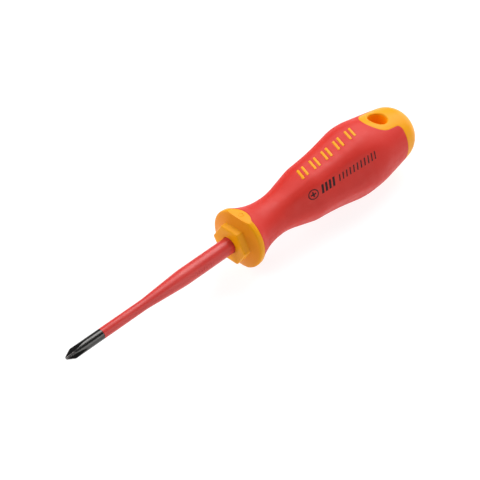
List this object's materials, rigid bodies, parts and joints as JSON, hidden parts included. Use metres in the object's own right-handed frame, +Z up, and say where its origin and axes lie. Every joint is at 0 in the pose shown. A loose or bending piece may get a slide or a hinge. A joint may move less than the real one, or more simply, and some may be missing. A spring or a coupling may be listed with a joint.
{
  "type": "insulated screwdriver",
  "caption": "Insulated cross-head screwdriver: dark steel point, sleeved blade, hexagonal bolster, guard, faceted soft grip and an end cap with a hanging hole.",
  "frame": {"origin": "driver tip, on the blade's axis", "axes": "+X along the blade's axis from the driver tip to the end of the handle, +Z up through the hanging hole and one flat of the guard"},
  "size_m": [0.1833, 0.0304, 0.0297],
  "materials": {
    "blade_steel": "black oxide",
    "insulation": "satin moulded",
    "core_plastic": "as moulded",
    "handle_plastic": "semi-gloss moulded",
    "grip_rubber": "fine matt texture"
  },
  "bodies": {
    "root": {"blade": "blade_steel", "blade_insulation": "insulation", "tang_core": "core_plastic", "handle_body": "handle_plastic", "grip": "grip_rubber"}
  },
  "joints": []
}
